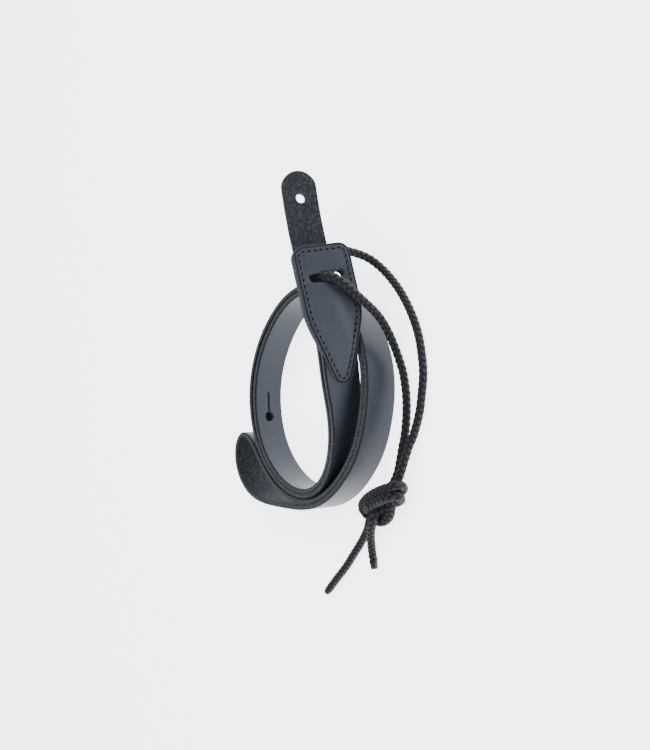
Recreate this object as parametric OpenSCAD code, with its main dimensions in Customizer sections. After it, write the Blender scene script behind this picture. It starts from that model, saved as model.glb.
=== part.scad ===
// Narrow leather instrument strap, folded in half and rolled, with a braided
// tie cord through the slot in its shield-shaped end. It stands on its edge:
// +Z is up, +X runs toward the free tab, and the origin is the middle of the
// base under the leather. The halves of the strap lie flesh side to flesh side.

/* [Strap] */
// Width of the leather strip
strap_w = 20; // [19:0.5:20.5]
// Thickness of the strip
strap_t = 2.7; // [2.4:0.1:2.8]
// Diameter of the strap-button hole in the tab
button_hole_d = 5.5; // [4.5:0.1:6.5]
// Distance from the tab's round tip to the middle of the button hole
button_hole_from_tip = 15.5; // [13:0.5:18]
// Diameter of the second button hole, the keyhole
keyhole_d = 6.3; // [4.5:0.1:6.5]
// Distance along the strip from the tab's tip to the keyhole
keyhole_from_tip = 281; // [275:0.5:290]
// Length of the slit that runs out of the keyhole
slit_l = 16; // [10:1:18]
// Width of that slit
slit_w = 1; // [0.6:0.1:1.2]

/* [Shield end] */
// Length of the shield along the strip
shield_l = 75; // [72:0.5:76]
// Greatest width of the shield
shield_w = 32; // [30:0.5:33]
// Radius of its two top corners
corner_r = 6; // [4:0.5:8]
// Radius of its pointed end
point_r = 5.5; // [4.5:0.5:6.5]
// Thickness of the grain leather cap on the front
front_cap_t = 1.6; // [1.2:0.1:1.8]
// Thickness of the lining cap on the back
back_cap_t = 1; // [0.8:0.1:1]
// Distance from the shield's top edge to the middle of the cord slot
slot_from_top = 17.5; // [16:0.5:20]
// Length of the slot, across the strap
slot_l = 19.5; // [17:0.5:21]
// Height of the slot
slot_h = 5.4; // [5:0.1:6]

/* [Stitching] */
// Distance of the stitching from the shield's edge
stitch_inset = 3; // [2.5:0.1:3.5]
// Distance from one stitch to the next
stitch_pitch = 3.3; // [3:0.1:4]
// Visible length of a stitch
stitch_l = 2.3; // [1.8:0.1:2.6]
// Diameter of the sewing thread
thread_d = 0.7; // [0.5:0.05:0.9]

/* [Tie cord] */
// Diameter of the braided cord
cord_d = 4.2; // [4:0.1:4.4]
// Length of the heat-sealed part at each free tip
tip_l = 3; // [2:0.5:4]

/* [Hidden] */

grain_black = [0.17, 0.18, 0.21];
flesh_black = [0.13, 0.14, 0.15];
thread_black = [0.06, 0.06, 0.07];
cord_black = [0.11, 0.11, 0.12];

// Move that brings the middle of the leather's base to the origin
home = [-28.7, -15.7, 0];

// The two halves run side by side. Each station of the pair is the middle point
// between them, how far the top leans inward in degrees, and the distance from
// one half's middle to the other's: [x, y, z, lean, spacing].
PAIR = [
    [126.4, -23.2, 41.6, 18, 14], [111, -24.5, 40, 18, 14], [95.6, -27.2, 38.7, 19, 14],
    [80, -31.5, 37.5, 19, 13.5], [63, -36.3, 36.1, 19, 11.5], [45, -42.2, 34.5, 17, 7],
    [26, -43, 30.8, 14.5, 5.2], [8, -38.2, 25.2, 9, 4.7], [-10, -35.5, 19, 6, 4],
    [-28, -30, 15, 3, 3.3], [-44, -20.5, 12, 1, 3], [-55, -7, 10.5, 0, 3],
    [-58.5, 10, 10, 0, 3], [-55, 27, 10, 0, 3], [-46.5, 42, 10, 0, 3.2],
    [-34, 54.5, 10, 0, 3.6], [-18, 62, 10, 0, 4.4], [0, 64.5, 10, 0, 4.8],
    [17, 61.5, 10, 0, 4.8], [33, 53.5, 10, 0, 4.6], [47, 41.5, 10, 0, 4],
    [58, 27, 10, 0, 3.5], [64, 10, 10, 0, 3.2], [65, -6, 10, 0, 3],
    [60, -20, 10.2, -3, 3], [50, -33, 10.3, -6, 3], [37, -44, 10.3, -6, 3],
    [21, -51, 10.2, -3, 3], [4, -52.2, 10, 0, 3], [-12, -49.5, 10, 0, 3],
    [-27, -44.5, 10, 0, 3], [-40, -35.5, 10, 0, 3], [-52, -23.5, 10, 0, 3],
    [-60.5, -9, 10, 0, 3], [-64.6, 7, 10, 0, 3.2]];
// The shield half stops at this station, and the tab half goes on past it
SHIELD_STATION = 3;
// The bend where one half turns back into the other: [x, y, z]
BEND = [
    [-66.8, 24, 10], [-67.5, 42, 10], [-66.5, 60, 10], [-60.2, 74.8, 10],
    [-47.3, 85, 10], [-32.2, 85.2, 10], [-23.8, 76, 10], [-29.2, 65.8, 10],
    [-39, 57.2, 10], [-50.6, 45.4, 10], [-59.7, 29.5, 10]];

// Routes of the tie cord's parts: [x, y, z]
FRONT_LEG = [
    [64, -39.5, 40], [64.6, -43, 38.7], [64.6, -47, 37.2], [62, -50.6, 34],
    [58.6, -52.8, 30], [55, -53.9, 26], [51.5, -55.2, 22], [46, -56.6, 15.6],
    [40, -57.6, 10.6], [32, -58.8, 6.4], [23, -60.8, 3.6], [14, -63.4, 2.3],
    [4, -65.6, 2.3], [-7, -66.1, 2.3], [-18.5, -64.8, 2.3], [-24.7, -63.3, 2.5],
    [-33.5, -61.9, 3.2], [-40, -61, 5], [-46, -58, 7]];
REAR_LEG = [
    [64, -39.5, 40], [63.5, -36, 42], [64.5, -32.5, 44], [67.5, -31, 45],
    [72, -30.5, 44], [76, -31.5, 40.5], [78.5, -33.5, 34.5], [80, -35, 29],
    [81, -37, 22.5], [79.5, -39.5, 14], [76, -43.5, 7.5], [69, -50.5, 3.6],
    [59, -60, 2.3], [47, -69, 2.3], [35, -75, 2.3], [23, -78, 2.3],
    [13, -79, 2.3], [2, -77.7, 2.3], [-7, -76, 2.3], [-18, -72.1, 2.5],
    [-24.7, -69.6, 3.8], [-31.5, -68.3, 5.6], [-38, -66, 7],
    [-45, -62.5, 8]];
LONG_TAIL = [
    [-62, -45, 6], [-66, -41, 5.4], [-71.3, -36.7, 4.6], [-77.8, -30.5, 3], [-88.2, -21.8, 2.3],
    [-97.9, -13.3, 2.3], [-107.5, -4.5, 2.3], [-115.8, 3.6, 2.3]];
SHORT_TAIL = [
    [-59, -49, 9.6], [-63, -47.4, 9.6], [-68.3, -44, 8.4], [-74.1, -40.2, 6], [-82, -37.6, 3.2],
    [-88.8, -37.5, 2.3], [-91.8, -38.3, 2.3]];
// The knot's outer shape: two eggs side by side along the cord
KNOT_CENTRE = [-54.5, -53, 8];
KNOT_L = 29;
KNOT_H = 16;
KNOT_SPREAD = 7;
KNOT_TURN = 140;

function unit(v) = v / norm(v);
function flat_turn(v) = unit([-v[1], v[0], 0]);
function xyz(p) = [p[0], p[1], p[2]];

// One half of the pair: side is 1 for the outer half and -1 for the inner one
function half_station(i, side) =
    let (p = PAIR[i],
         run = xyz(PAIR[min(i + 1, len(PAIR) - 1)]) - xyz(PAIR[max(i - 1, 0)]),
         out = flat_turn(run) * cos(p[3]) + [0, 0, sin(p[3])])
    concat(xyz(p) + out * side * p[4] / 2, side * p[3]);

// Control stations of the whole strip, from the shield round to the tab
STRIP = concat(
    [for (i = [SHIELD_STATION:len(PAIR) - 1]) half_station(i, 1)],
    [for (p = BEND) concat(p, 0)],
    [for (i = [len(PAIR) - 1:-1:0]) half_station(i, -1)]);
LAST = len(STRIP) - 1;
EXTENDED = concat([2 * STRIP[0] - STRIP[1]], STRIP, [2 * STRIP[LAST] - STRIP[LAST - 1]]);

// Smooth curve past the control stations (uniform cubic B-spline)
function strip_at(t) =
    let (i = min(max(floor(t), 0), LAST - 1), u = t - i, v = 1 - u)
    (v * v * v * EXTENDED[i] + (3 * u * u * u - 6 * u * u + 4) * EXTENDED[i + 1]
     + (3 * v * v * v - 6 * v * v + 4) * EXTENDED[i + 2] + u * u * u * EXTENDED[i + 3]) / 6;

// Table of [distance along the strip, curve parameter]
STEPS = 8;
TRAVEL = [for (k = 0, s = 0; k <= LAST * STEPS;
               s = s + norm(xyz(strip_at((k + 1) / STEPS)) - xyz(strip_at(k / STEPS))),
               k = k + 1) [s, k / STEPS]];
STRIP_L = TRAVEL[len(TRAVEL) - 1][0];

// Frame of the strip at a distance: [point, along, up across the width, outward]
function frame_at(s) =
    let (t = lookup(s, TRAVEL),
         p = strip_at(t),
         along = unit(xyz(strip_at(min(t + 0.01, LAST))) - xyz(strip_at(max(t - 0.01, 0)))),
         lift = [0, 0, 1] * cos(p[3]) - flat_turn(along) * sin(p[3]),
         up = unit(lift - (lift * along) * along))
    [xyz(p), along, up, cross(up, along)];

function shield_slope(h, rp, run) =
    let (first = (h - rp) / run)
    (h - rp * sqrt(1 + first * first)) / run;

// Half width of the shield at a distance from its top edge: straight sides, a
// slow bend, a straight taper and a round point. inset draws it smaller.
TAPER_START = 0.43 * shield_l;
TAPER_FULL = 0.61 * shield_l;
function shield_half(s, inset = 0) =
    let (h = shield_w / 2 - inset,
         rc = corner_r - inset,
         rp = point_r - inset,
         point = shield_l - point_r,
         bend_mid = (TAPER_START + TAPER_FULL) / 2,
         slope = shield_slope(h, rp, point - bend_mid),
         bent = max(0, min(s, TAPER_FULL) - TAPER_START),
         past = max(0, s - TAPER_FULL))
    s < corner_r ? h - rc + sqrt(max(0, rc * rc - pow(corner_r - s, 2)))
    : s > point + rp * sin(atan(slope)) ? sqrt(max(0, rp * rp - pow(s - point, 2)))
    : h - slope * (bent * bent / (TAPER_FULL - TAPER_START) / 2 + past);

// Outline rows [distance, half width] of a shield, from its top to its point
SIDE_STEP = 3;
ARC_STEP = 15;
SHIELD_ROWS = concat(
    [for (a = [0:ARC_STEP:90])
        [corner_r * (1 - cos(a)), shield_w / 2 - corner_r * (1 - sin(a))]],
    [for (s = [corner_r + SIDE_STEP:SIDE_STEP:shield_l - point_r]) [s, shield_half(s)]],
    [for (a = [20:ARC_STEP:85]) [shield_l - point_r * (1 - sin(a)), point_r * cos(a)]]);

// The strip's own rows: its flared end has the shield's outline, and its tab
// end is a half circle
function strip_half(s) = max(strap_w / 2, s < shield_l - point_r ? shield_half(s) : 0);
TAB_R = strap_w / 2;
STRIP_ROWS = concat(
    [for (row = SHIELD_ROWS) if (row[0] <= corner_r) row],
    [for (s = [corner_r + SIDE_STEP:SIDE_STEP:STRIP_L - TAB_R - 1]) [s, strip_half(s)]],
    [for (a = [0:ARC_STEP / 2:87]) [STRIP_L - TAB_R * (1 - sin(a)), TAB_R * cos(a)]]);

// A sheet of leather between two heights over the strip's middle surface
module sheet(rows, low, high) {
    corners = [for (row = rows)
        let (f = frame_at(row[0]))
        for (c = [[-1, low], [1, low], [1, high], [-1, high]])
            f[0] + f[2] * row[1] * c[0] + f[3] * c[1]];
    n = len(rows);
    sides = [for (i = [0:n - 2], k = [0:3])
        [4 * i + k, 4 * i + (k + 1) % 4, 4 * i + 4 + (k + 1) % 4, 4 * i + 4 + k]];
    polyhedron(corners, concat([[3, 2, 1, 0]], sides,
                               [[for (k = [0:3]) 4 * (n - 1) + k]]), convexity = 10);
}

// Puts children in the strip's frame: X up its width, Y along it, Z outward
module on_strip(s) {
    f = frame_at(s);
    multmatrix([for (k = [0:2]) [f[2][k], f[1][k], f[3][k], f[0][k]]]) children();
}

CUT = 12;
module cord_slot() {
    on_strip(slot_from_top) {
        for (x = [-1, 1] * (slot_l - slot_h) / 2)
            translate([x, 0, 0]) cylinder(h = CUT, d = slot_h, center = true, $fn = 48);
        cube([slot_l - slot_h, slot_h, CUT], center = true);
    }
}

module button_hole(s, d) {
    on_strip(s) translate([0, 0, -strap_t]) cylinder(h = 2 * strap_t, d = d, $fn = 48);
}

module keyhole() {
    s = STRIP_L - keyhole_from_tip;
    button_hole(s, keyhole_d);
    on_strip(s - slit_l / 2)
        cube([slit_w, slit_l, 2 * strap_t], center = true);
}

// Half of the stitch line, from the middle of the top edge to the point
SEAM = let (h = shield_w / 2 - stitch_inset, rc = corner_r - stitch_inset,
            rp = point_r - stitch_inset)
    concat(
        [[stitch_inset, 0]],
        [for (a = [0:ARC_STEP:90]) [stitch_inset + rc * (1 - cos(a)), h - rc * (1 - sin(a))]],
        [for (s = [corner_r + SIDE_STEP:SIDE_STEP:shield_l - point_r])
            [s, shield_half(s, stitch_inset)]],
        [for (a = [20:ARC_STEP:80]) [shield_l - point_r + rp * sin(a), rp * cos(a)]]);
SEAM_TRAVEL = [for (k = 0, run = 0; k < len(SEAM);
                    run = run + norm(SEAM[min(k + 1, len(SEAM) - 1)] - SEAM[k]),
                    k = k + 1) [run, k]];
SEAM_L = SEAM_TRAVEL[len(SEAM) - 1][0];
function seam_at(run) =
    let (k = lookup(run, SEAM_TRAVEL), i = min(floor(k), len(SEAM) - 2))
    SEAM[i] + (SEAM[i + 1] - SEAM[i]) * (k - i);
function on_face(q, side, height) =
    let (f = frame_at(q[0]))
    f[0] + f[2] * side * q[1] + f[3] * height;

// A straight round bar from a to b
module bar(a, b, d) {
    run = b - a;
    translate(a)
        rotate([0, acos(run[2] / norm(run)), atan2(run[1], run[0])])
            cylinder(h = norm(run), d = d, $fn = 16);
}

module stitches(height) {
    count = round(SEAM_L / stitch_pitch);
    pitch = SEAM_L / count;
    for (side = [-1, 1], k = [0:count - 1])
        bar(on_face(seam_at((k + 0.5) * pitch - stitch_l / 2), side, height),
            on_face(seam_at((k + 0.5) * pitch + stitch_l / 2), side, height), thread_d);
}

// Smooth curve through a cord's points (Catmull-Rom)
function through(p, t) =
    let (last = len(p) - 1, i = min(floor(t), last - 1), u = t - i,
         b = p[i], c = p[i + 1],
         a = i > 0 ? p[i - 1] : 2 * b - c,
         d = i < last - 1 ? p[i + 2] : 2 * c - b)
    0.5 * (2 * b + (c - a) * u + (2 * a - 5 * b + 4 * c - d) * u * u
           + (3 * b - a - 3 * c + d) * u * u * u);

// A cord swept along its route with straight-sided rings
CORD_SIDES = 10;
module cord(route, step, d = cord_d) {
    last = len(route) - 1;
    ts = [for (t = [0:step:last - step / 2]) t];
    stops = concat(ts, [last]);
    n = len(stops);
    mid = [for (t = stops) through(route, t)];
    dir = [for (t = stops)
        unit(through(route, min(t + 0.02, last)) - through(route, max(t - 0.02, 0)))];
    seed = unit(cross(dir[0], [0.31, 0.23, 0.92]));
    side = [for (i = 0, v = seed; i < n;
                 v = let (d2 = dir[min(i + 1, n - 1)]) unit(v - (v * d2) * d2),
                 i = i + 1) v];
    rim = [for (i = [0:n - 1], k = [0:CORD_SIDES - 1])
        let (a = k * 360 / CORD_SIDES)
        mid[i] + (side[i] * cos(a) + cross(dir[i], side[i]) * sin(a)) * d / 2];
    skin = [for (i = [0:n - 2], k = [0:CORD_SIDES - 1])
        let (m = (k + 1) % CORD_SIDES)
        [CORD_SIDES * i + m, CORD_SIDES * i + k,
         CORD_SIDES * (i + 1) + k, CORD_SIDES * (i + 1) + m]];
    polyhedron(rim, concat(
        [[for (k = [0:CORD_SIDES - 1]) k]], skin,
        [[for (k = [CORD_SIDES - 1:-1:0]) CORD_SIDES * (n - 1) + k]]), convexity = 6);
}

// The heat-sealed end of a tail: a short, slightly thicker round stub
module sealed_tip(route) {
    last = route[len(route) - 1];
    run = unit(last - route[len(route) - 2]);
    bar(last, last + run * tip_l, cord_d);
}

module strap() {
    color(grain_black) translate(home) difference() {
        sheet(STRIP_ROWS, -strap_t / 2, strap_t / 2);
        cord_slot();
        button_hole(STRIP_L - button_hole_from_tip, button_hole_d);
        keyhole();
    }
}

// The caps lie on the strip with a film of glue between
GLUE = 0.07;
module front_cap() {
    color(grain_black) translate(home) difference() {
        sheet(SHIELD_ROWS, strap_t / 2 + GLUE, strap_t / 2 + front_cap_t);
        cord_slot();
    }
}

module back_cap() {
    color(flesh_black) translate(home) difference() {
        sheet(SHIELD_ROWS, -strap_t / 2 - back_cap_t, -strap_t / 2 - GLUE);
        cord_slot();
    }
}

// Stitches lie on the leather with a hair of clearance
THREAD_GAP = 0.03;
module needle_thread() {
    color(thread_black) translate(home)
        stitches(strap_t / 2 + front_cap_t + thread_d / 2 + THREAD_GAP);
}

module bobbin_thread() {
    color(thread_black) translate(home)
        stitches(-strap_t / 2 - back_cap_t - thread_d / 2 - THREAD_GAP);
}

module cord_front_leg() {
    color(cord_black) translate(home) cord(FRONT_LEG, 0.5);
}

module cord_rear_leg() {
    color(cord_black) translate(home) cord(REAR_LEG, 0.5);
}

module cord_knot() {
    color(cord_black) translate(home + KNOT_CENTRE) rotate([0, 90, KNOT_TURN])
        hull() for (y = [-1, 1] * KNOT_SPREAD / 2)
            translate([0, y, 0]) rotate_extrude($fn = 32)
                polygon([for (a = [-90:15:90]) [KNOT_H / 2 * cos(a), KNOT_L / 2 * sin(a)]]);
}

module cord_long_tail() {
    color(cord_black) translate(home) cord(LONG_TAIL, 0.5);
}

module cord_short_tail() {
    color(cord_black) translate(home) cord(SHORT_TAIL, 0.5);
}

module cord_sealed_tips() {
    color(thread_black) translate(home) {
        sealed_tip(LONG_TAIL);
        sealed_tip(SHORT_TAIL);
    }
}

strap();
front_cap();
back_cap();
needle_thread();
bobbin_thread();
cord_front_leg();
cord_rear_leg();
cord_knot();
cord_long_tail();
cord_short_tail();
cord_sealed_tips();
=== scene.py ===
import math

import bmesh
import bpy
import numpy as np
from mathutils import Matrix, Vector


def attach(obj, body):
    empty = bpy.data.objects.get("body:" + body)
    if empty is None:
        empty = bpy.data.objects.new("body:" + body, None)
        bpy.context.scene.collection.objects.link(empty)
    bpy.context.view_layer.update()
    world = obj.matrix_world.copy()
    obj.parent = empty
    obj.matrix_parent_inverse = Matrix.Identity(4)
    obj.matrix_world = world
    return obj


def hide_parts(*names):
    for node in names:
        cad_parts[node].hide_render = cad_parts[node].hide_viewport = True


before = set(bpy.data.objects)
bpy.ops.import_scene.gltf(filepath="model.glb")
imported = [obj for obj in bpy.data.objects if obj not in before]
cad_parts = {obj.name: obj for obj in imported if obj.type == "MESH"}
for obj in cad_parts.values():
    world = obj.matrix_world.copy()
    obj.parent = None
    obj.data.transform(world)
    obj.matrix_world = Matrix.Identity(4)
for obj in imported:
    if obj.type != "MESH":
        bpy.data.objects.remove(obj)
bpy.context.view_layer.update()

MM = 0.001
HOME = np.array([-28.7, -15.7, 0.0])

# ---------------------------------------------------------------- camera
TARGET = np.array([13.0, -3.0, 10.0]) + HOME
CAMERA_FAR = 480
TILT = math.radians(36)
BACK = np.array([0, -math.cos(TILT), math.sin(TILT)])
RIGHT = np.array([0, -math.sin(TILT), -math.cos(TILT)])
UP = np.array([1.0, 0, 0])
camera_data = bpy.data.cameras.new("camera")
camera_data.sensor_width = 36
camera_data.lens = 39.17
camera_data.clip_start = 0.01
camera = bpy.data.objects.new("camera", camera_data)
bpy.context.scene.collection.objects.link(camera)
EYE = (TARGET + CAMERA_FAR * BACK) * MM
camera.matrix_world = Matrix(
    [[RIGHT[k], UP[k], BACK[k], EYE[k]] for k in range(3)] + [[0, 0, 0, 1]])
bpy.context.scene.camera = camera

# ---------------------------------------------------------------- sizes, mm
STRAP_W, STRAP_T = 20.0, 2.7
FRONT_T, BACK_T = 1.6, 1.0
SHIELD_L, SHIELD_W, CORNER_R, POINT_R = 75.0, 32.0, 6.0, 5.5
SLOT_AT, SLOT_L, SLOT_H = 17.5, 19.5, 5.4
HOLE_D, HOLE_AT = 5.5, 15.5
KEY_D, KEY_AT, SLIT_L, SLIT_W = 6.3, 281.0, 16.0, 1.0
SEAM_IN, SEAM_PITCH, THREAD_D = 3.0, 3.3, 0.6
HOLE_LONG, HOLE_WIDE, HOLE_SLANT = 1.75, 0.85, 32
CORD_D = 4.2
CORD_SIDES = 44
BRAID_STEP = 0.42  # distance from one ring of the braid's mesh to the next
KNOT_D = 4.6  # the soft cord spreads where it is knotted
CORD_LOW = 2.15  # the least height of the knotted cord's middle
RIM = 0.42  # radius of a cut edge's rounding
CUT_REACH, HOLE_REACH, KEY_REACH = 8, 3, 2.4  # how far a cutter goes each way

# The two halves side by side: x, y, z, inward lean in degrees, spacing
PAIR = np.array([
    [126.4, -23.2, 41.6, 18, 14], [111, -24.5, 40, 18, 14], [95.6, -27.2, 38.7, 19, 14],
    [80, -31.5, 37.5, 19, 13.5], [63, -36.3, 36.1, 19, 11.5], [45, -42.2, 34.5, 17, 7],
    [26, -43, 30.8, 14.5, 5.2], [8, -38.2, 25.2, 9, 4.7], [-10, -35.5, 19, 6, 4],
    [-28, -30, 15, 3, 3.3], [-44, -20.5, 12, 1, 3], [-55, -7, 10.5, 0, 3],
    [-58.5, 10, 10, 0, 3], [-55, 27, 10, 0, 3], [-46.5, 42, 10, 0, 3.2],
    [-34, 54.5, 10, 0, 3.6], [-18, 62, 10, 0, 4.4], [0, 64.5, 10, 0, 4.8],
    [17, 61.5, 10, 0, 4.8], [33, 53.5, 10, 0, 4.6], [47, 41.5, 10, 0, 4],
    [58, 27, 10, 0, 3.5], [64, 10, 10, 0, 3.2], [65, -6, 10, 0, 3],
    [60, -20, 10.2, -3, 3], [50, -33, 10.3, -6, 3], [37, -44, 10.3, -6, 3],
    [21, -51, 10.2, -3, 3], [4, -52.2, 10, 0, 3], [-12, -49.5, 10, 0, 3],
    [-27, -44.5, 10, 0, 3], [-40, -35.5, 10, 0, 3], [-52, -23.5, 10, 0, 3],
    [-60.5, -9, 10, 0, 3], [-64.6, 7, 10, 0, 3.2]], float)
SHIELD_STATION = 3
BEND = np.array([
    [-66.8, 24, 10], [-67.5, 42, 10], [-66.5, 60, 10], [-60.2, 74.8, 10],
    [-47.3, 85, 10], [-32.2, 85.2, 10], [-23.8, 76, 10], [-29.2, 65.8, 10],
    [-39, 57.2, 10], [-50.6, 45.4, 10], [-59.7, 29.5, 10]], float)

# Routes of the cord's legs and tails. The CAD's tails lie up to 1.5 mm from these.
FRONT_LEG = [
    [64, -39.5, 40], [64.6, -43, 38.7], [64.6, -47, 37.2], [62, -50.6, 34],
    [58.6, -52.8, 30], [55, -53.9, 26], [51.5, -55.2, 22], [46, -56.6, 15.6],
    [40, -57.6, 10.6], [32, -58.8, 6.4], [23, -60.8, 3.6], [14, -63.4, 2.3],
    [4, -65.6, 2.3], [-7, -66.1, 2.3], [-18.5, -64.8, 2.3], [-24.7, -63.3, 2.5],
    [-33.5, -61.9, 3.2]]
REAR_LEG = [
    [64, -39.5, 40], [63.5, -36, 42], [64.5, -32.5, 44], [67.5, -31, 45],
    [72, -30.5, 44], [76, -31.5, 40.5], [78.5, -33.5, 34.5], [80, -35, 29],
    [81, -37, 22.5], [79.5, -39.5, 14], [76, -43.5, 7.5], [69, -50.5, 3.6],
    [59, -60, 2.3], [47, -69, 2.3], [35, -75, 2.3], [23, -78, 2.3],
    [13, -79, 2.3], [2, -77.7, 2.3], [-7, -76, 2.3], [-18, -72.1, 2.5],
    [-24.7, -69.6, 3.8], [-31.5, -68.3, 5.6]]
LONG_TAIL = [
    [-71, -37.8, 4.8], [-76.3, -33.2, 3.6], [-83.6, -26.5, 2.4], [-91.3, -19.8, 2.3],
    [-99.2, -13, 2.3], [-107.5, -4.5, 2.3], [-115.8, 3.6, 2.3]]
SHORT_TAIL = [
    [-71.4, -43.1, 8.2], [-76.4, -40.6, 6.2], [-83.9, -38.3, 3.4], [-89.6, -38.2, 2.3],
    [-92.3, -38.8, 2.3]]
KNOT_CENTRE = np.array([-54.5, -52.0, 8.0])
# The doubled overhand knot: each strand's pass through it
OUTER_PASS = [
    [-41, -65.4, 6.5], [-46.6, -63.1, 5.5], [-52.3, -60.8, 4.8], [-58.6, -56.8, 4.4],
    [-63.5, -51.3, 4.2], [-66.2, -45, 4.2], [-67.6, -38.6, 4.4], [-66.8, -34.8, 5.4],
    [-63.1, -35.2, 7.5], [-57.5, -40.1, 10], [-53.8, -46.5, 11.8], [-49.4, -55.2, 13],
    [-46, -64, 13], [-43.5, -70.2, 12], [-43.6, -71.5, 9], [-46.7, -66.8, 5],
    [-50.6, -57.7, 2.6], [-54.6, -50.2, 2.3], [-58, -46.9, 3.6], [-60.2, -47.3, 6.8],
    [-62.6, -47.1, 8.8], [-66.2, -45.8, 9.2]]
INNER_PASS = [
    [-42.2, -59.6, 3.2], [-47.8, -57.8, 3.2], [-52.9, -56.5, 3.6], [-58, -53, 3.6],
    [-61.8, -47.9, 3.4], [-64, -42.9, 3.8], [-64.5, -39, 5], [-63, -39.4, 7.6],
    [-59.9, -43, 10], [-55.7, -50.4, 12], [-52.3, -59.3, 13], [-50.4, -66.1, 12.4],
    [-49.3, -69.7, 9.6], [-52.3, -65.5, 5.6], [-55.7, -56.5, 2.6], [-59.4, -49.1, 2.4],
    [-62.1, -45.6, 4], [-66, -42.1, 5.2]]


# ---------------------------------------------------------------- curves
def unit(v):
    return v / np.linalg.norm(v, axis=-1, keepdims=True)


def flat_turn(v):
    return unit(np.stack([-v[..., 1], v[..., 0], 0 * v[..., 0]], -1))


def half_stations(side):
    rows = PAIR[:, :3]
    run = np.vstack([rows[1:], rows[-1:]]) - np.vstack([rows[:1], rows[:-1]])
    lean = np.radians(PAIR[:, 3:4])
    out = flat_turn(run) * np.cos(lean) + np.array([0, 0, 1]) * np.sin(lean)
    return np.hstack([rows + out * side * PAIR[:, 4:5] / 2, side * PAIR[:, 3:4]])


STATIONS = np.vstack([
    half_stations(1)[SHIELD_STATION:],
    np.hstack([BEND, np.zeros((len(BEND), 1))]),
    half_stations(-1)[::-1]])
EXTENDED = np.vstack([
    2 * STATIONS[0] - STATIONS[1], STATIONS, 2 * STATIONS[-1] - STATIONS[-2]])
LAST = len(STATIONS) - 1


def strip_at(t):
    t = np.asarray(t, float)
    i = np.clip(np.floor(t).astype(int), 0, LAST - 1)
    u = (t - i)[:, None]
    v = 1 - u
    e = EXTENDED
    return (v**3 * e[i] + (3 * u**3 - 6 * u * u + 4) * e[i + 1]
            + (3 * v**3 - 6 * v * v + 4) * e[i + 2] + u**3 * e[i + 3]) / 6


FINE = np.linspace(0, LAST, LAST * 40 + 1)
FINE_P = strip_at(FINE)[:, :3]
FINE_S = np.r_[0, np.cumsum(np.linalg.norm(np.diff(FINE_P, axis=0), axis=1))]
STRIP_L = FINE_S[-1]


def frames_at(s):
    """Point, along, up across the width and outward, for each distance s."""
    t = np.interp(s, FINE_S, FINE)
    p = strip_at(t)
    along = unit(strip_at(np.minimum(t + 0.01, LAST))[:, :3]
                 - strip_at(np.maximum(t - 0.01, 0))[:, :3])
    lean = np.radians(p[:, 3:4])
    lift = np.array([0, 0, 1]) * np.cos(lean) - flat_turn(along) * np.sin(lean)
    up = unit(lift - (lift * along).sum(1, keepdims=True) * along)
    # past the ends the strip goes straight on
    over = (np.minimum(s, 0) + np.maximum(s - STRIP_L, 0))[:, None]
    return p[:, :3] + along * over + HOME, along, up, np.cross(up, along)


def place(s, v, h):
    """Strip coordinates (distance, across, outward) in mm to the row frame in metres."""
    p, along, up, out = frames_at(np.asarray(s, float))
    return (p + up * np.asarray(v, float)[:, None] + out * np.asarray(h, float)[:, None]) * MM


# ---------------------------------------------------------------- outlines
TAPER_START, TAPER_FULL = 0.43 * SHIELD_L, 0.61 * SHIELD_L


def shield_half(s, inset=0.0):
    h, rc, rp = SHIELD_W / 2 - inset, CORNER_R - inset, POINT_R - inset
    point = SHIELD_L - POINT_R
    run = point - (TAPER_START + TAPER_FULL) / 2
    slope = (h - rp * math.sqrt(1 + ((h - rp) / run) ** 2)) / run
    bent = max(0, min(s, TAPER_FULL) - TAPER_START)
    past = max(0, s - TAPER_FULL)
    if s < CORNER_R:
        return h - rc + math.sqrt(max(0, rc * rc - (CORNER_R - s) ** 2))
    if s > point + rp * math.sin(math.atan(slope)):
        return math.sqrt(max(0, rp * rp - (s - point) ** 2))
    return h - slope * (bent * bent / (TAPER_FULL - TAPER_START) / 2 + past)


def strap_half(s):
    if s > STRIP_L - STRAP_W / 2:
        return math.sqrt(max(0, (STRAP_W / 2) ** 2 - (s - STRIP_L + STRAP_W / 2) ** 2))
    return max(STRAP_W / 2, shield_half(s) if s < SHIELD_L - POINT_R else 0)


def outline_of(half, lo, hi, step=0.25):
    """Closed outline points (distance, across) of a sheet."""
    ends = 0.5 * (1 - np.cos(np.linspace(0, math.pi / 2, 24)))
    s = np.unique(np.r_[lo + 8 * ends, np.arange(lo + 8, hi - 8, step), hi - 8 * ends])
    v = np.array([half(x) for x in s])
    return np.vstack([np.c_[s, v], np.c_[s, -v][::-1]])


def distance_to(outline, q):
    """Distance from each point q to a closed outline."""
    a, b = outline, np.roll(outline, -1, 0)
    d = b - a
    ll = np.maximum((d * d).sum(1), 1e-12)
    best = np.full(len(q), 1e9)
    for k in range(0, len(q), 2000):
        w = q[k:k + 2000, None, :] - a[None]
        t = np.clip((w * d).sum(2) / ll, 0, 1)
        best[k:k + 2000] = np.sqrt((((w - t[..., None] * d) ** 2).sum(2)).min(1))
    return best


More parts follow.
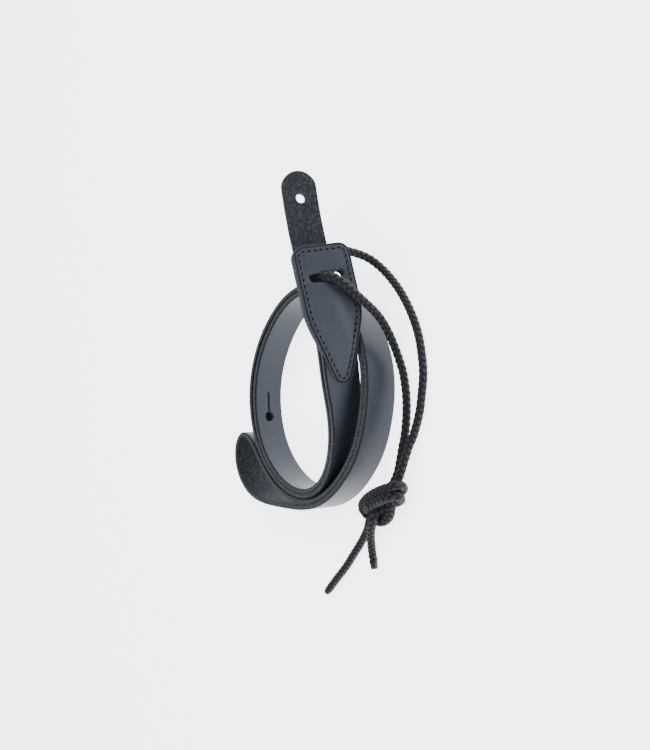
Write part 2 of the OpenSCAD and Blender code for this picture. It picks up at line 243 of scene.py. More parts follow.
# ---------------------------------------------------------------- meshes
def new_object(name, verts, faces, materials=(), indices=None, uv=None, smooth=True):
    mesh = bpy.data.meshes.new(name)
    mesh.from_pydata([tuple(v) for v in verts], [], [tuple(int(k) for k in f) for f in faces])
    for m in materials:
        mesh.materials.append(m)
    if indices is not None:
        mesh.polygons.foreach_set("material_index", np.asarray(indices, np.int32))
    if uv is not None:
        layer = mesh.uv_layers.new(name="UVMap")
        loops = np.zeros(len(mesh.loops), np.int32)
        mesh.loops.foreach_get("vertex_index", loops)
        layer.data.foreach_set("uv", np.asarray(uv, np.float32)[loops].ravel())
    if smooth:
        mesh.polygons.foreach_set("use_smooth", np.ones(len(mesh.polygons), bool))
    mesh.update()
    obj = bpy.data.objects.new(name, mesh)
    bpy.context.scene.collection.objects.link(obj)
    return obj


def leather_sheet(name, s_rows, half, low, high, materials, outline,
                  rough_low=0.05, waves=None):
    """A sheet of leather over the strip, with rounded cut edges. materials are
    outer face, inner face, cut edge. UV is (distance in from the outer face's rim,
    negative round the cut edge and the inner face, distance along), in cm."""
    insets = np.array([0, 0.06, 0.2, 0.42, 0.9, 1.6, 2.6])
    inner = np.linspace(0, 1, 6)[1:]
    s_all, v_all = [], []
    for s in s_rows:
        h = half(s)
        edge = np.maximum(h - insets, 0)
        core = edge[-1] * (1 - inner)
        side = np.r_[edge, core]
        v = np.r_[side, -side[::-1][1:]]
        s_all.append(np.full(len(v), s))
        v_all.append(v)
    s_all, v_all = np.array(s_all), np.array(v_all)
    rows, cols = s_all.shape
    sv, vv = s_all.ravel(), v_all.ravel()
    near = distance_to(outline, np.c_[sv, vv])
    bow = np.sqrt(np.maximum(RIM**2 - (RIM - near) ** 2, 0))
    drop = np.where(near < RIM, RIM - bow, 0)
    swell = waves(sv, vv) if waves else 0 * sv
    fuzz = (rough_low * np.sin(sv * 1.9 + 3 * np.sin(vv * 1.3))
            * np.sin(vv * 2.3 + 2 * np.sin(sv * 0.7)))
    top = place(sv, vv, high - drop + swell)
    bottom = place(sv, vv, low + drop + fuzz * (near > 0.5))
    grid = np.arange(rows * cols).reshape(rows, cols)
    loop = np.r_[grid[0, :-1], grid[:-1, -1], grid[-1, :0:-1], grid[:0:-1, 0]]
    n = rows * cols
    middle = place(sv[loop], vv[loop], np.full(len(loop), (low + high) / 2))
    verts = np.vstack([top, bottom, middle])
    a, b, c, d = grid[:-1, :-1], grid[:-1, 1:], grid[1:, 1:], grid[1:, :-1]
    quads = np.stack([a, b, c, d], -1).reshape(-1, 4)
    faces = [*quads, *(quads[:, ::-1] + n)]
    rim_top = near[quads].max(1) < 0.3
    kinds = list(np.where(rim_top, 2, 0)) + list(np.where(rim_top, 2, 1))
    m = np.arange(len(loop)) + 2 * n
    nxt, m_nxt = np.roll(loop, -1), np.roll(m, -1)
    faces += [*np.stack([nxt, loop, m, m_nxt], 1)]
    faces += [*np.stack([m_nxt, m, loop + n, nxt + n], 1)]
    kinds += [2] * (2 * len(loop))
    girth = high - low
    depth = np.r_[near, -girth - near, 0 * near[loop] - girth / 2]
    uv = np.c_[depth, np.r_[sv, sv, sv[loop]]] * 0.1
    obj = new_object(name, verts, faces, materials, kinds, uv)
    tidy(obj)
    return obj


def tidy(obj):
    """Joins points that coincide and turns the faces outward."""
    bm = bmesh.new()
    bm.from_mesh(obj.data)
    bmesh.ops.remove_doubles(bm, verts=bm.verts, dist=2e-6)
    bmesh.ops.dissolve_degenerate(bm, edges=bm.edges, dist=1e-6)
    bmesh.ops.recalc_face_normals(bm, faces=bm.faces)
    bm.to_mesh(obj.data)
    bm.free()
    obj.data.update()


def cut(obj, cutters):
    """Cuts closed cutter objects out of obj and bakes the result."""
    for cutter in cutters:
        modifier = obj.modifiers.new("cut", "BOOLEAN")
        modifier.object = cutter
        modifier.operation = "DIFFERENCE"
        modifier.solver = "EXACT"
        modifier.material_mode = "TRANSFER"
    bpy.context.view_layer.update()
    graph = bpy.context.evaluated_depsgraph_get()
    baked = bpy.data.meshes.new_from_object(obj.evaluated_get(graph))
    obj.modifiers.clear()
    old, name = obj.data, obj.data.name
    obj.data = baked
    bpy.data.meshes.remove(old)
    baked.name = name
    for cutter in cutters:
        mesh = cutter.data
        bpy.data.objects.remove(cutter)
        bpy.data.meshes.remove(mesh)
    tidy(obj)


def prism(name, s0, outline, depth):
    """A closed cutter: outline (along, across) about distance s0, through the sheet."""
    p, along, up, out = (x[0] for x in frames_at(np.array([s0])))
    rings = [(p + along * outline[:, :1] + up * outline[:, 1:] + out * h) * MM
             for h in (-depth, depth)]
    n = len(outline)
    faces = [list(range(n))[::-1], [k + n for k in range(n)]]
    faces += [[k, (k + 1) % n, (k + 1) % n + n, k + n] for k in range(n)]
    obj = new_object(name, np.vstack(rings), faces, [CUT], [0] * len(faces), smooth=False)
    tidy(obj)
    return obj


def circle(r, n=40):
    a = np.linspace(0, 2 * math.pi, n, endpoint=False)
    return np.c_[np.cos(a), np.sin(a)] * r


def stadium(length, height, n=20):
    a = np.linspace(-math.pi / 2, math.pi / 2, n)
    r, c = height / 2, (length - height) / 2
    one = np.c_[r * np.sin(a), c + r * np.cos(a)]
    return np.vstack([one, -one])


# ---------------------------------------------------------------- materials
def material(name):
    m = bpy.data.materials.new(name)
    m.use_nodes = True
    return m, m.node_tree.nodes, m.node_tree.links, m.node_tree.nodes["Principled BSDF"]


def noise(nodes, links, coord, scale, detail=4, rough=0.6, stretch=None):
    n = nodes.new("ShaderNodeTexNoise")
    n.inputs["Scale"].default_value = scale
    n.inputs["Detail"].default_value = detail
    n.inputs["Roughness"].default_value = rough
    if stretch:
        m = nodes.new("ShaderNodeMapping")
        m.inputs["Scale"].default_value = stretch
        links.new(coord, m.inputs["Vector"])
        coord = m.outputs["Vector"]
    links.new(coord, n.inputs["Vector"])
    return n.outputs["Fac"]


def ramp(nodes, links, value, stops):
    r = nodes.new("ShaderNodeValToRGB")
    r.color_ramp.elements[0].position = stops[0][0]
    r.color_ramp.elements[0].color = (*stops[0][1], 1)
    r.color_ramp.elements[1].position = stops[-1][0]
    r.color_ramp.elements[1].color = (*stops[-1][1], 1)
    for pos, col in stops[1:-1]:
        r.color_ramp.elements.new(pos).color = (*col, 1)
    links.new(value, r.inputs["Fac"])
    return r.outputs["Color"]


def maths(nodes, links, op, a, b=None, c=None):
    n = nodes.new("ShaderNodeMath")
    n.operation = op
    for k, x in enumerate((a, b, c)):
        if x is None:
            continue
        if isinstance(x, (int, float)):
            n.inputs[k].default_value = x
        else:
            links.new(x, n.inputs[k])
    return n.outputs[0]


def mix(nodes, links, fac, a, b, blend="MIX"):
    n = nodes.new("ShaderNodeMix")
    n.data_type = "RGBA"
    n.blend_type = blend
    for key, x in (("Factor", fac), ("A", a), ("B", b)):
        socket = [i for i in n.inputs
                  if i.name == key and i.type in ("VALUE", "RGBA") and i.enabled][0]
        if isinstance(x, tuple):
            socket.default_value = (*x, 1)
        elif isinstance(x, (int, float)):
            socket.default_value = x
        else:
            links.new(x, socket)
    return [o for o in n.outputs if o.enabled][0]


def bump(nodes, links, height, strength, distance, normal=None):
    n = nodes.new("ShaderNodeBump")
    n.inputs["Strength"].default_value = strength
    n.inputs["Distance"].default_value = distance
    links.new(height, n.inputs["Height"])
    if normal is not None:
        links.new(normal, n.inputs["Normal"])
    return n.outputs["Normal"]


def groove(nodes, links, x, centre, width):
    """1 in a soft line at a distance from the sheet's edge (cm), 0 elsewhere."""
    off = maths(nodes, links, "SUBTRACT", x, centre)
    fall = maths(nodes, links, "DIVIDE", off, width)
    square = maths(nodes, links, "MULTIPLY", fall, fall)
    return maths(nodes, links, "POWER", 2.718, maths(nodes, links, "MULTIPLY", square, -1.0))


def first(nodes, links, uv):
    """The first UV coordinate."""
    sep = nodes.new("ShaderNodeSeparateXYZ")
    links.new(uv, sep.inputs[0])
    return sep.outputs["X"]


def grain_leather(name, crease):
    """Smooth outer face, pebbled; crease is the depth in cm of the line pressed
    in along its rim."""
    m, nodes, links, shader = material(name)
    tc = nodes.new("ShaderNodeTexCoord")
    obj, uv = tc.outputs["Object"], tc.outputs["UV"]
    cells = nodes.new("ShaderNodeTexVoronoi")
    cells.feature = "DISTANCE_TO_EDGE"
    cells.inputs["Scale"].default_value = 1700
    warp = nodes.new("ShaderNodeTexNoise")
    warp.inputs["Scale"].default_value = 900
    links.new(obj, warp.inputs["Vector"])
    add = nodes.new("ShaderNodeVectorMath")
    add.operation = "MULTIPLY_ADD"
    add.inputs[1].default_value = (0.0004, 0.0004, 0.0004)
    links.new(warp.outputs["Color"], add.inputs[0])
    links.new(obj, add.inputs[2])
    links.new(add.outputs[0], cells.inputs["Vector"])
    pebble = ramp(nodes, links, cells.outputs["Distance"], [(0.0, (0, 0, 0)), (0.22, (1, 1, 1))])
    patchy = noise(nodes, links, obj, 42, 5, 0.62)
    fine = noise(nodes, links, obj, 2600, 3, 0.7)
    tone = ramp(nodes, links, patchy, [
        (0.32, (0.0105, 0.0122, 0.0195)), (0.68, (0.0145, 0.0168, 0.0262))])
    tone = mix(nodes, links, 0.25, tone, pebble, "MULTIPLY")
    line = groove(nodes, links, first(nodes, links, uv), crease, 0.038)
    # the crease line is painted near-black: painted shade in its groove
    tone = mix(nodes, links, line, tone, (0.002, 0.002, 0.003))
    links.new(tone, shader.inputs["Base Color"])
    gloss = maths(nodes, links, "MULTIPLY_ADD", patchy, 0.14, 0.29)
    gloss = maths(nodes, links, "MULTIPLY_ADD", fine, 0.07, gloss)
    gloss = maths(nodes, links, "MULTIPLY_ADD", line, 0.6, gloss)
    links.new(gloss, shader.inputs["Roughness"])
    shader.inputs["Specular IOR Level"].default_value = 0.30
    shader.inputs["Specular Tint"].default_value = (0.82, 0.89, 1.0, 1)
    height = maths(nodes, links, "MULTIPLY_ADD", line, -1.0, 0.0)
    normal = bump(nodes, links, height, 1.0, 0.0006)
    normal = bump(nodes, links, pebble, 0.22, 0.00006, normal)
    normal = bump(nodes, links, fine, 0.15, 0.00003, normal)
    links.new(normal, shader.inputs["Normal"])
    return m


def flesh_leather(name):
    """Napped inner face."""
    m, nodes, links, shader = material(name)
    obj = nodes.new("ShaderNodeTexCoord").outputs["Object"]
    nap = noise(nodes, links, obj, 1500, 5, 0.8)
    clump = noise(nodes, links, obj, 620, 5, 0.75)
    cloud = noise(nodes, links, obj, 60, 4, 0.6)
    tone = ramp(nodes, links, clump, [
        (0.34, (0.003, 0.0038, 0.005)), (0.50, (0.0125, 0.0152, 0.0185)),
        (0.66, (0.036, 0.042, 0.048))])
    shade = ramp(nodes, links, cloud, [(0.3, (0.75, 0.75, 0.77)), (0.7, (1, 1, 1))])
    tone = mix(nodes, links, 0.4, tone, shade, "MULTIPLY")
    worn = maths(nodes, links, "MULTIPLY", nap, 0.2)
    tone = mix(nodes, links, worn, tone, (0.022, 0.026, 0.030))
    links.new(tone, shader.inputs["Base Color"])
    shader.inputs["Roughness"].default_value = 0.95
    shader.inputs["Specular IOR Level"].default_value = 0.15
    shader.inputs["Sheen Weight"].default_value = 0.10
    shader.inputs["Sheen Roughness"].default_value = 0.45
    shader.inputs["Sheen Tint"].default_value = (0.55, 0.6, 0.68, 1)
    normal = bump(nodes, links, clump, 0.6, 0.00022)
    normal = bump(nodes, links, nap, 0.6, 0.00012, normal)
    links.new(normal, shader.inputs["Normal"])
    return m


def cut_edge(name, thick, layer):
    """Raw edge: fibrous and mottled, a little darker toward both faces. thick is the
    leather's thickness in cm, and layer the UV distance of a dark line, or None."""
    m, nodes, links, shader = material(name)
    tc = nodes.new("ShaderNodeTexCoord")
    obj = tc.outputs["Object"]
    x = first(nodes, links, tc.outputs["UV"])
    fibre = noise(nodes, links, obj, 1500, 5, 0.8)
    lump = noise(nodes, links, obj, 1000, 4, 0.8)
    tone = ramp(nodes, links, lump, [
        (0.38, (0.004, 0.005, 0.006)), (0.50, (0.030, 0.035, 0.039)),
        (0.62, (0.105, 0.117, 0.124))])
    frayed = maths(nodes, links, "MULTIPLY", fibre, 0.35)
    tone = mix(nodes, links, frayed, tone, (0.050, 0.056, 0.060))
    wander = maths(nodes, links, "MULTIPLY_ADD", lump, 0.09, x)
    depth = ramp(nodes, links, maths(nodes, links, "MULTIPLY_ADD", wander, 1 / thick, 1.0), [
        (0.0, (0.62, 0.62, 0.63)), (0.30, (0.80, 0.80, 0.81)), (0.55, (1, 1, 1)),
        (0.88, (1, 1, 1)), (1.0, (0.5, 0.5, 0.51))])
    tone = mix(nodes, links, 1.0, tone, depth, "MULTIPLY")
    if layer:
        seam = groove(nodes, links, wander, layer, 0.02)
        faint = maths(nodes, links, "MULTIPLY", seam, 0.45)
        tone = mix(nodes, links, faint, tone, (0.003, 0.0035, 0.004))
    links.new(tone, shader.inputs["Base Color"])
    shader.inputs["Roughness"].default_value = 0.92
    shader.inputs["Specular IOR Level"].default_value = 0.15
    shader.inputs["Sheen Weight"].default_value = 0.12
    normal = bump(nodes, links, lump, 0.8, 0.0003)
    normal = bump(nodes, links, fibre, 0.6, 0.00015, normal)
    links.new(normal, shader.inputs["Normal"])
    return m


def waxed_thread(name):
    m, nodes, links, shader = material(name)
    tc = nodes.new("ShaderNodeTexCoord")
    ply = nodes.new("ShaderNodeTexWave")
    ply.bands_direction = "DIAGONAL"
    ply.inputs["Scale"].default_value = 1.2
    ply.inputs["Distortion"].default_value = 0.6
    links.new(tc.outputs["UV"], ply.inputs["Vector"])
    fluff = noise(nodes, links, tc.outputs["Object"], 3000, 3, 0.7)
    # darker where the ply bump is low: painted shade in the grooves between the plies
    tone = ramp(nodes, links, ply.outputs["Fac"], [
        (0.2, (0.006, 0.0065, 0.008)), (0.9, (0.020, 0.022, 0.026))])
    links.new(tone, shader.inputs["Base Color"])
    rough = maths(nodes, links, "MULTIPLY_ADD", fluff, 0.2, 0.42)
    links.new(rough, shader.inputs["Roughness"])
    normal = bump(nodes, links, ply.outputs["Fac"], 0.7, 0.00012)
    normal = bump(nodes, links, fluff, 0.3, 0.00004, normal)
    links.new(normal, shader.inputs["Normal"])
    return m


# painted shade: the near-black inside of the needle holes
def painted_hole_shade(name):
    m, nodes, links, shader = material(name)
    obj = nodes.new("ShaderNodeTexCoord").outputs["Object"]
    grit = noise(nodes, links, obj, 2400, 3, 0.7)
    tone = ramp(nodes, links, grit, [
        (0.3, (0.0004, 0.0004, 0.0005)), (0.8, (0.0018, 0.0019, 0.0022))])
    links.new(tone, shader.inputs["Base Color"])
    shader.inputs["Roughness"].default_value = 1.0
    shader.inputs["Specular IOR Level"].default_value = 0.0
    return m


def braid_yarn(name, tip=False):
    m, nodes, links, shader = material(name)
    tc = nodes.new("ShaderNodeTexCoord")
    obj, uv = tc.outputs["Object"], tc.outputs["UV"]
    # UV is (height of the weave, distance along): the gaps between yarns are painted near-black,
    # painted shade in the recesses between them
    filament = noise(nodes, links, obj, 3200, 4, 0.7)
    dust = noise(nodes, links, obj, 260, 4, 0.65)
    tone = ramp(nodes, links, first(nodes, links, uv), [
        (0.34, (0.0003, 0.0003, 0.0004)), (0.72, (0.0052, 0.0062, 0.0080)),
        (1.0, (0.0195, 0.0222, 0.0265))])
    strands = ramp(nodes, links, filament, [
        (0.3, (0.35, 0.35, 0.37)), (0.75, (1.35, 1.35, 1.35))])
    tone = mix(nodes, links, 0.55, tone, strands, "MULTIPLY")
    clouds = ramp(nodes, links, dust, [(0.3, (0.6, 0.6, 0.62)), (0.7, (1.2, 1.2, 1.2))])
    tone = mix(nodes, links, 0.4, tone, clouds, "MULTIPLY")
    if tip:
        tone = mix(nodes, links, 0.7, tone, (0.008, 0.008, 0.009))
    links.new(tone, shader.inputs["Base Color"])
    shader.inputs["Roughness"].default_value = 0.34 if tip else 0.68
    shader.inputs["Specular IOR Level"].default_value = 0.4 if tip else 0.16
    shader.inputs["Sheen Weight"].default_value = 0.0 if tip else 0.12
    shader.inputs["Sheen Roughness"].default_value = 0.5
    normal = bump(nodes, links, filament, 0.5, 0.00010)
    links.new(normal, shader.inputs["Normal"])
    return m


GRAIN = grain_leather("grain_leather", 0.048)
SHIELD_GRAIN = grain_leather("shield_grain_leather", 0.095)
FLESH = flesh_leather("flesh_leather")
EDGE = cut_edge("strap_edge", 0.27, -0.12)
FRONT_EDGE = cut_edge("front_cap_edge", 0.16, None)
BACK_EDGE = cut_edge("back_cap_edge", 0.10, None)
CUT = cut_edge("hole_edge", 0.6, None)
NEEDLE_HOLE_SHADE = painted_hole_shade("needle_hole_painted_shade")
THREAD = waxed_thread("waxed_thread")
BRAID = braid_yarn("braid")
TIP = braid_yarn("sealed_braid", tip=True)

# ---------------------------------------------------------------- strap
tip_rows = STRIP_L - STRAP_W / 2 * (1 - np.sin(np.radians(np.r_[0:84:3, 84:90:1.5])))
fine_end = np.r_[0, 0.06, 0.2, 0.42, 0.8, 1.3, 1.9, 2.6, 3.4, 4.2, 5.1, 6]
strap_rows = np.r_[fine_end, np.arange(7.5, STRIP_L - STRAP_W / 2 - 1, 1.5), tip_rows]


def hole_pull(s, v):
    """The leather dips a little round the button hole."""
    d = np.hypot(s - (STRIP_L - HOLE_AT), v)
    return -0.12 * np.exp(-((d - HOLE_D / 2) / 1.2) ** 2)


SLOT = stadium(SLOT_L, SLOT_H)
strap = leather_sheet("strap_leather", strap_rows, strap_half, -STRAP_T / 2, STRAP_T / 2,
                      [GRAIN, FLESH, EDGE], outline_of(strap_half, 0, STRIP_L, 1.0), waves=hole_pull)
cut(strap, [
    prism("cut_slot", SLOT_AT, SLOT, CUT_REACH),
    prism("cut_hole", STRIP_L - HOLE_AT, circle(HOLE_D / 2), HOLE_REACH),
    prism("cut_key", STRIP_L - KEY_AT, circle(KEY_D / 2), KEY_REACH),
    prism("cut_slit", STRIP_L - KEY_AT - SLIT_L / 2,
          np.array([[-1, -1], [1, -1], [1, 1], [-1, 1]]) * [SLIT_L / 2, SLIT_W / 2],
          KEY_REACH)])

# ---------------------------------------------------------------- shield
shield_rows = np.r_[fine_end, np.arange(7, SHIELD_L - POINT_R, 1.0),
                    SHIELD_L - POINT_R * (1 - np.sin(np.radians(np.r_[0:84:6, 84:90:2])))]
shield_line = outline_of(shield_half, 0, SHIELD_L)


def seam_points(inset):
    """Half of the stitch line (distance, across), from the top's middle to the
    point, and the length along it at each of its points."""
    h, rc, rp = SHIELD_W / 2 - inset, CORNER_R - inset, POINT_R - inset
    a = np.linspace(0, math.pi / 2, 30)
    s = np.linspace(CORNER_R, SHIELD_L - POINT_R, 200)
    rows = np.vstack([
        [[inset, 0]], np.c_[inset + rc * (1 - np.cos(a)), h - rc * (1 - np.sin(a))],
        np.c_[s, [shield_half(x, inset) for x in s]],
        np.c_[SHIELD_L - POINT_R + rp * np.sin(a[6:]), rp * np.cos(a[6:])]])
    run = np.r_[0, np.cumsum(np.linalg.norm(np.diff(rows, axis=0), axis=1))]
    return rows, run


SEAM, SEAM_RUN = seam_points(SEAM_IN)
STITCHES = round(SEAM_RUN[-1] / SEAM_PITCH)
PITCH = SEAM_RUN[-1] / STITCHES


def seam_at(run):
    return np.array([np.interp(run, SEAM_RUN, SEAM[:, k]) for k in (0, 1)])



def sewn(s, v):
    """The cap sinks along the seam and round the slot."""
    q = np.c_[s, v]
    line = np.vstack([SEAM, (SEAM * [1, -1])[::-1]])
    d = distance_to(line, q)
    sink = -0.16 * np.exp(-(d / 0.8) ** 2)
    slot = np.hypot(s - SLOT_AT, np.maximum(np.abs(v) - (SLOT_L - SLOT_H) / 2, 0)) - SLOT_H / 2
    sink += -0.22 * np.exp(-(np.maximum(slot, 0) / 1.4) ** 2)
    # the shallow valley that runs from the slot's middle toward the point
    on = np.clip((s - 20) / 32, 0, 1)
    off = v + 2.5 + 7 * on
    side = np.where(off > 0, 1.7, 4.5)
    sink += -0.8 * np.exp(-(off / side) ** 2) * np.sin(np.pi * np.clip((s - 17) / 42, 0, 1)) ** 0.7
    return sink


front = leather_sheet("shield_front", shield_rows, shield_half, STRAP_T / 2 + 0.02,
                      STRAP_T / 2 + FRONT_T, [SHIELD_GRAIN, FLESH, FRONT_EDGE], shield_line,
                      0.0, sewn)
cut(front, [prism("cut_front", SLOT_AT, SLOT, CUT_REACH)])
back = leather_sheet("shield_back", shield_rows, shield_half, -STRAP_T / 2 - BACK_T,
                     -STRAP_T / 2 - 0.02, [FLESH, FLESH, BACK_EDGE], shield_line, 0.04)
cut(back, [prism("cut_back", SLOT_AT, SLOT, CUT_REACH)])


# ---------------------------------------------------------------- stitches
def stitch_row(name, height, side_out):
    """Both sides' stitches, each from one needle hole to the next, and the slanted
    dark ellipsoids of painted shade in the needle holes. side_out is 1 on the front and -1 on the
    back."""
    verts, faces, uv, kinds = [], [], [], []
    sides, rings = 10, 11

    def ring_faces(base, count):
        for i in range(count - 1):
            for j in range(sides):
                m = (j + 1) % sides
                faces.append((base + i * sides + j, base + i * sides + m,
                              base + (i + 1) * sides + m, base + (i + 1) * sides + j))
        faces.append([base + j for j in range(sides)][::-1])
        faces.append([base + (count - 1) * sides + j for j in range(sides)])

    for side in (1, -1):
        for k in range(STITCHES):
            lo = k * PITCH + 0.35
            hi = (k + 1) * PITCH - 0.35
            u = np.linspace(0, 1, rings)
            q = np.array([seam_at(lo + (hi - lo) * x) for x in u]) * [1, side]
            lift = THREAD_D * (0.60 * np.sin(np.pi * u) ** 0.6 - 0.42)
            mid = place(q[:, 0], q[:, 1], height + side_out * lift)
            along = unit(np.gradient(mid, axis=0))
            _, _, up, out = frames_at(q[:, 0])
            across = unit(np.cross(along, out))
            rise = np.cross(across, along)
            r = THREAD_D / 2 * MM * (0.60 + 0.25 * np.sin(np.pi * u))
            base = len(verts)
            for i in range(rings):
                for j in range(sides):
                    a = 2 * math.pi * j / sides
                    verts.append(mid[i] + (across[i] * math.cos(a) + rise[i] * math.sin(a)) * r[i])
                    uv.append((j / sides * 4, u[i] * 9))
            ring_faces(base, rings)
            kinds += [0] * (len(faces) - len(kinds))
    for k in range(STITCHES + 1):
        for side in ((1, -1) if 0 < k < STITCHES else (1,)):
            # the needle hole's painted shade: a dark ellipsoid, slanted to the seam
            q = seam_at(k * PITCH) * [1, side]
            ahead = (seam_at(k * PITCH + 0.3) - seam_at(k * PITCH - 0.3)) * [1, side]
            if not 0 < k < STITCHES:
                ahead = np.array([0, 1.0])
            way = unit(ahead)
            slant = math.radians(HOLE_SLANT)
            way = np.array([way[0] * math.cos(slant) - way[1] * math.sin(slant),
                            way[0] * math.sin(slant) + way[1] * math.cos(slant)])
            over = np.array([-way[1], way[0]])
            base = len(verts)
            for b in np.linspace(-0.98, 0.98, 7):
                for j in range(sides):
                    a = 2 * math.pi * j / sides
                    c = math.sqrt(1 - b * b)
                    w = q + way * b * HOLE_LONG / 2 + over * c * math.cos(a) * HOLE_WIDE / 2
                    verts.append(place([w[0]], [w[1]], height - side_out * 0.07
                                       + side_out * np.array([0.14 * c * math.sin(a)]))[0])
                    uv.append((0, 0))
            ring_faces(base, 7)
            kinds += [1] * (len(faces) - len(kinds))
    obj = new_object(name, np.array(verts), faces, [THREAD, NEEDLE_HOLE_SHADE], kinds, np.array(uv))
    tidy(obj)
    return obj


needle = stitch_row("needle_stitches", STRAP_T / 2 + FRONT_T, 1)
bobbin = stitch_row("bobbin_stitches", -STRAP_T / 2 - BACK_T, -1)


# ---------------------------------------------------------------- cord
def smooth_line(points, spacing):
    """Catmull-Rom line through points, resampled to even spacing."""
    p = np.array(points, float)
    e = np.vstack([2 * p[0] - p[1], p, 2 * p[-1] - p[-2]])
    t = np.linspace(0, len(p) - 1, (len(p) - 1) * 24 + 1)
    i = np.minimum(t.astype(int), len(p) - 2)
    u = (t - i)[:, None]
    a, b, c, d = e[i], e[i + 1], e[i + 2], e[i + 3]
    q = 0.5 * (2 * b + (c - a) * u + (2 * a - 5 * b + 4 * c - d) * u**2
               + (3 * b - a - 3 * c + d) * u**3)
    run = np.r_[0, np.cumsum(np.linalg.norm(np.diff(q, axis=0), axis=1))]
    n = max(2, int(round(run[-1] / spacing)))
    even = np.linspace(0, run[-1], n + 1)
    return np.stack([np.interp(even, run, q[:, k]) for k in range(q.shape[1])], 1)


front_line = smooth_line(np.vstack([FRONT_LEG, INNER_PASS, LONG_TAIL]), 1.0)
rear_line = smooth_line(np.vstack([REAR_LEG, OUTER_PASS, SHORT_TAIL]), 1.0)


def relax(lines, centre, reach, rounds):
    """Pushes strands that lie in each other apart near the knot, keeps them
    smooth and above the ground, and leaves the rest of the cord alone."""
    sizes = [len(x) for x in lines]
    p = np.vstack(lines)
    tag = np.r_[np.zeros(sizes[0], int), np.ones(sizes[1], int)]
    order = np.r_[np.arange(sizes[0]), np.arange(sizes[1])]
    free = np.where(np.linalg.norm(p - centre, axis=1) < reach)[0]
    move = np.clip((reach - np.linalg.norm(p[free] - centre, axis=1)) / 5, 0, 1)[:, None]
    ft, fo = tag[free], order[free]
    apart = (ft[:, None] != ft[None]) | (np.abs(fo[:, None] - fo[None]) > 8)
    for _ in range(rounds):
        q = p[free]
        d = q[:, None] - q[None]
        r = np.linalg.norm(d, axis=2) + 1e-6
        push = np.where(apart & (r < KNOT_D), (KNOT_D - r) / r * 0.28, 0)
        shift = (d * push[..., None]).sum(1)
        size = np.linalg.norm(shift, axis=1, keepdims=True)
        shift *= np.minimum(1, 0.5 / np.maximum(size, 1e-6))
        # smooth along the strand
        mid = 0.5 * (p[np.maximum(free - 1, 0)] + p[np.minimum(free + 1, len(p) - 1)]) - q
        p[free] = q + (shift + 0.42 * mid) * move
        p[free, 2] = np.maximum(p[free, 2], CORD_LOW)
    return p[:sizes[0]], p[sizes[0]:]


front_line, rear_line = relax([front_line, rear_line], KNOT_CENTRE, reach=34, rounds=70)


def bumps(s, a):
    """Height of the braid, 0 to 1, at a distance s and angle a round the cord:
    six columns of yarns that lean left and right in turn."""
    columns, pitch = 6, 3.3
    width = math.pi * CORD_D / columns
    pos = a / (2 * math.pi) * columns
    best = np.zeros(np.broadcast(s, a).shape)
    for dc in (-1, 0, 1):
        col = np.floor(pos) + dc
        x = (pos - col - 0.5) * width
        odd = np.mod(col, 2)
        row = np.floor(s / pitch - odd * 0.5)
        for dr in (-1, 0, 1):
            y = s - (row + dr + 0.5 + odd * 0.5) * pitch
            t = math.radians(36) * (1 - 2 * odd)
            xx = x * np.cos(t) + y * np.sin(t)
            yy = -x * np.sin(t) + y * np.cos(t)
            dome = np.sqrt(np.maximum(0, 1 - (xx / 1.16) ** 2 - (yy / 2.25) ** 2))
            best = np.maximum(best, dome)
    return best


def braid(name, line, phase):
    """A braided cord along a line in mm, with its yarns as real relief."""
    sides = CORD_SIDES
    path = smooth_line(line + HOME, BRAID_STEP)
    n = len(path)
    along = unit(np.gradient(path, axis=0))
    side = np.zeros_like(path)
    side[0] = unit(np.cross(along[0], [0.31, 0.23, 0.92]))
    for i in range(1, n):
        v = side[i - 1] - np.dot(side[i - 1], along[i]) * along[i]
        side[i] = v / np.linalg.norm(v)
    other = np.cross(along, side)
    s = np.arange(n)[:, None] * BRAID_STEP + phase
    a = np.arange(sides)[None] * 2 * math.pi / sides
    h = bumps(s, a + 0 * s)
    knotted = np.exp(-(np.linalg.norm(path - HOME - KNOT_CENTRE, axis=1) / 15) ** 6)
    spread = 1 + (KNOT_D / CORD_D - 0.96) * knotted[:, None]
    r = ((CORD_D / 2 - 0.42 + 0.74 * h ** 0.8) * spread)[..., None]
    spoke = side[:, None] * np.cos(a)[..., None] + other[:, None] * np.sin(a)[..., None]
    rim = path[:, None] + spoke * r
    # flattened where it rests on the ground
    rim[..., 2] = np.maximum(rim[..., 2], 0.02)
    verts = rim.reshape(-1, 3) * MM
    grid = np.arange(n * sides).reshape(n, sides)
    nxt = np.roll(grid, -1, 1)
    faces = [*np.stack([grid[:-1], nxt[:-1], nxt[1:], grid[1:]], -1).reshape(-1, 4)]
    faces += [grid[0][::-1], grid[-1]]
    uv = np.c_[h.ravel(), np.repeat(s.ravel(), sides) * 0.1]
    obj = new_object(name, verts, faces, [BRAID], [0] * len(faces), uv)
    tidy(obj)
    return obj, path * MM


front_cord, front_path = braid("cord_front_strand", front_line, 0.0)
rear_cord, rear_path = braid("cord_rear_strand", rear_line, 1.3)


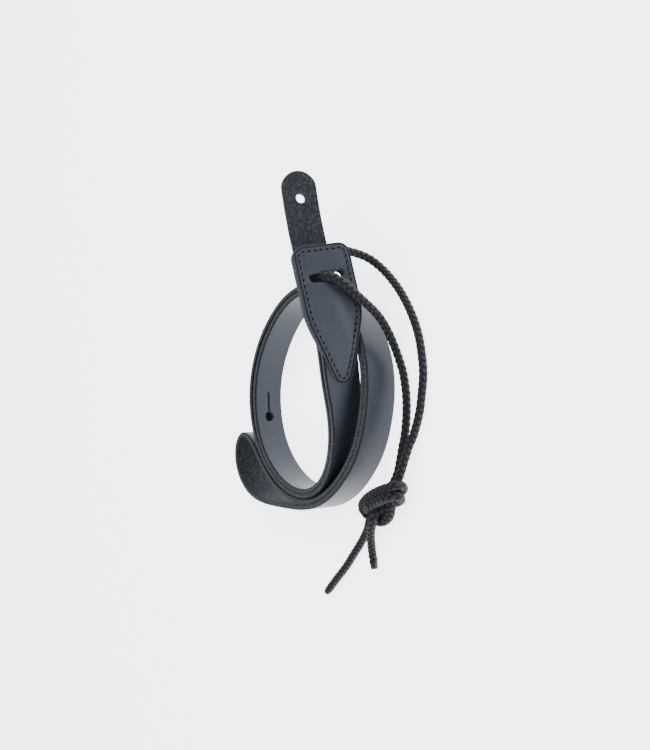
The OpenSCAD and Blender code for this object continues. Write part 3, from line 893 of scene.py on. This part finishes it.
def sealed_tip(name, path):
    """The melted end: the braid swells, flattens and closes in a ragged lip."""
    end = path[-1] / MM
    way = unit(path[-1] - path[-8])
    side = unit(np.cross(way, [0, 0, 1.0]))
    lift = np.cross(side, way)
    profile = [(-1.2, 2.10), (-0.6, 2.18), (0, 2.22), (0.8, 2.24), (1.6, 2.20), (2.3, 2.10),
               (2.75, 1.86), (2.95, 1.5), (2.9, 1.0), (2.8, 0.5)]
    sides = CORD_SIDES
    verts, uv = [], []
    for t, r in profile:
        for j in range(sides):
            a = 2 * math.pi * j / sides
            ragged = 1 + 0.02 * math.sin(3 * a + 1) + 0.025 * math.sin(7 * a + t)
            dent = 0.14 * (1 - abs(math.sin(4 * a + t * 1.5))) * max(0, 1 - t / 3)
            rr = r * ragged - dent
            verts.append((end + way * (t + (0.2 * math.sin(5 * a) if t > 2.5 else 0))
                          + (side * math.cos(a) + lift * math.sin(a) * 0.96) * rr) * MM)
            uv.append((0.5, t * 0.1))
    faces = []
    for i in range(len(profile) - 1):
        for j in range(sides):
            m = (j + 1) % sides
            faces.append((i * sides + j, i * sides + m, (i + 1) * sides + m, (i + 1) * sides + j))
    faces.append(list(range(sides))[::-1])
    faces.append([(len(profile) - 1) * sides + j for j in range(sides)])
    obj = new_object(name, np.array(verts), faces, [TIP], [0] * len(faces), np.array(uv))
    tidy(obj)
    return obj


long_tip = sealed_tip("sealed_tip_long", front_path)
short_tip = sealed_tip("sealed_tip_short", rear_path)

# ---------------------------------------------------------------- frame
for piece, nodes, slot_name in (
        (strap, ["strap"], "grain_leather"), (front, ["front_cap"], "grain_leather"),
        (back, ["back_cap"], "flesh_leather"), (needle, ["needle_thread"], "thread"),
        (bobbin, ["bobbin_thread"], "thread")):
    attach(piece, "leather")
    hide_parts(*nodes)
for piece, nodes, slot_name in (
        (front_cord, ["cord_front_leg", "cord_long_tail", "cord_knot"], "braid"),
        (rear_cord, ["cord_rear_leg", "cord_short_tail"], "braid"),
        (long_tip, ["cord_sealed_tips"], "cord_tip"), (short_tip, ["cord_sealed_tips"], "cord_tip")):
    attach(piece, "tie_cord")
    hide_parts(*nodes)

# ---------------------------------------------------------------- light
floor_material, nodes, links, shader = material("floor")
tc = nodes.new("ShaderNodeTexCoord")
speck = noise(nodes, links, tc.outputs["Object"], 60, 3, 0.5)
pale = ramp(nodes, links, speck, [(0.3, (0.89, 0.90, 0.92)), (0.7, (0.91, 0.92, 0.94))])
links.new(pale, shader.inputs["Base Color"])
# the ground glows, so that it comes out nearly white
links.new(pale, shader.inputs["Emission Color"])
shader.inputs["Emission Strength"].default_value = 3.7
shader.inputs["Roughness"].default_value = 0.8
shader.inputs["Specular IOR Level"].default_value = 0.2
floor = new_object("floor", np.array([[-6, -6, 0], [6, -6, 0], [6, 6, 0], [-6, 6, 0]], float),
                   [(0, 1, 2, 3)], [floor_material], [0], smooth=False)
floor.location.z = -0.0002

world = bpy.data.worlds.new("studio")
world.use_nodes = True
world.node_tree.nodes["Background"].inputs["Color"].default_value = (0.88, 0.94, 1.0, 1)
world.node_tree.nodes["Background"].inputs["Strength"].default_value = 0.8
bpy.context.scene.world = world


def area(name, where, size, power, aim=(-0.0166, -0.0177, 0.01), colour=(1, 1, 1)):
    data = bpy.data.lights.new(name, "AREA")
    data.shape = "RECTANGLE"
    data.size, data.size_y = size
    data.energy = power
    data.color = colour
    obj = bpy.data.objects.new(name, data)
    bpy.context.scene.collection.objects.link(obj)
    obj.location = where
    obj.rotation_euler = (Vector(aim) - Vector(where)).to_track_quat("-Z", "Y").to_euler()
    return obj


area("key", (0.75, -0.35, 0.95), (0.9, 0.9), 10)
area("fill", (-0.8, -0.6, 0.7), (0.9, 0.9), 4.5)
area("top", (0.0, 0.25, 1.2), (1.2, 1.2), 6)
